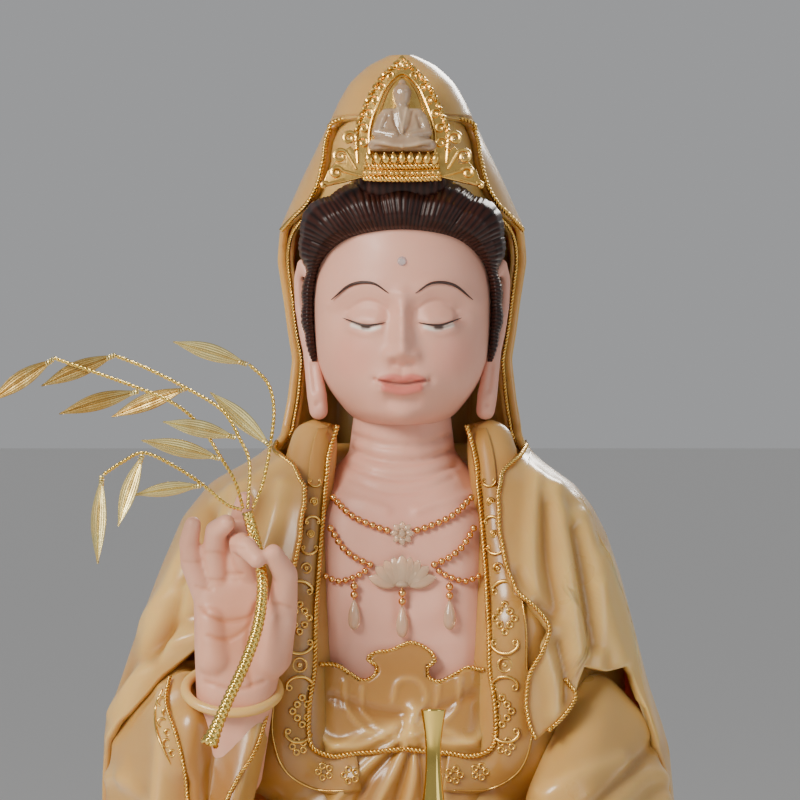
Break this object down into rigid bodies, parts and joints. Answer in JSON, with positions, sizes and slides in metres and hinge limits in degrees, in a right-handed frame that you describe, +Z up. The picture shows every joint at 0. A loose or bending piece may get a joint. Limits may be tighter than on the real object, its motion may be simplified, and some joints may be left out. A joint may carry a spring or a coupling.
{
  "type": "figurine",
  "caption": "Robed seated figurine in a hooded mantle on a lotus throne, with crown, bead necklaces, lift-off vase and willow spray",
  "frame": {"origin": "middle of the underside of the felt pad under the oval plinth", "axes": "+Z up; the figure faces -Y; +X is the figure's left side"},
  "size_m": [0.284, 0.206, 0.48],
  "materials": {
    "jade": "translucent polished jade-like stone resin",
    "skin": "matte pink",
    "hair": "glossy dark brown",
    "gilt": "gilt",
    "brass": "polished gold-plated",
    "clear_stone": "translucent stone",
    "rhinestone": "faceted clear",
    "steel": "zinc plated",
    "felt": "felt"
  },
  "bodies": {
    "figure": {"lotus_throne": "jade", "plinth": "jade", "mantle": "jade", "under_veil": "jade", "robe_body": "jade", "right_sleeve": "jade", "left_sleeve": "jade", "chest_wrap": "jade", "right_bangle": "jade", "chest_and_neck": "skin", "head": "skin", "right_hand": "skin", "left_hand": "skin", "hair": "hair", "upper_strand_right": "gilt", "upper_strand_left": "gilt", "lower_strand_right": "gilt", "lower_strand_left": "gilt", "swag_strand_right": "gilt", "swag_strand_left": "gilt", "wrap_trim": "gilt", "collar_trim_right": "gilt", "collar_trim_left": "gilt", "mantle_trim_right": "gilt", "mantle_trim_left": "gilt", "crown_frame": "gilt", "crown_band": "gilt", "sleeve_trim": "gilt", "drop_beads_right": "gilt", "drop_beads_middle": "gilt", "drop_beads_left": "gilt", "crown_cameo": "clear_stone", "drop_stone_right": "clear_stone", "drop_stone_middle": "clear_stone", "drop_stone_left": "clear_stone", "necklace_flower": "clear_stone", "lotus_pendant": "clear_stone", "forehead_stone": "rhinestone", "tie_rod": "steel", "tie_washer": "steel", "tie_nut": "steel", "neck_dowel": "steel", "felt_pad": "felt"},
    "vase": {"vase": "brass"},
    "willow": {"willow_stem": "brass", "willow_twig_1": "brass", "willow_twig_2": "brass", "willow_twig_3": "brass", "willow_twig_4": "brass", "willow_leaf_1": "brass", "willow_leaf_2": "brass", "willow_leaf_3": "brass", "willow_leaf_4": "brass", "willow_leaf_5": "brass", "willow_leaf_6": "brass", "willow_leaf_7": "brass", "willow_leaf_8": "brass", "willow_leaf_9": "brass", "willow_leaf_10": "brass", "willow_leaf_11": "brass"}
  },
  "joints": [
    {"name": "vase_lift", "type": "slide", "parent": "figure", "child": "vase", "axis": [0, 0, 1], "range_m": [0, 0.06]},
    {"name": "willow_turn", "type": "hinge", "parent": "figure", "child": "willow", "pos_m": [-0.0462, -0.0625, 0.313], "axis": [0, 0, 1], "range_deg": [-8, 8]}
  ]
}
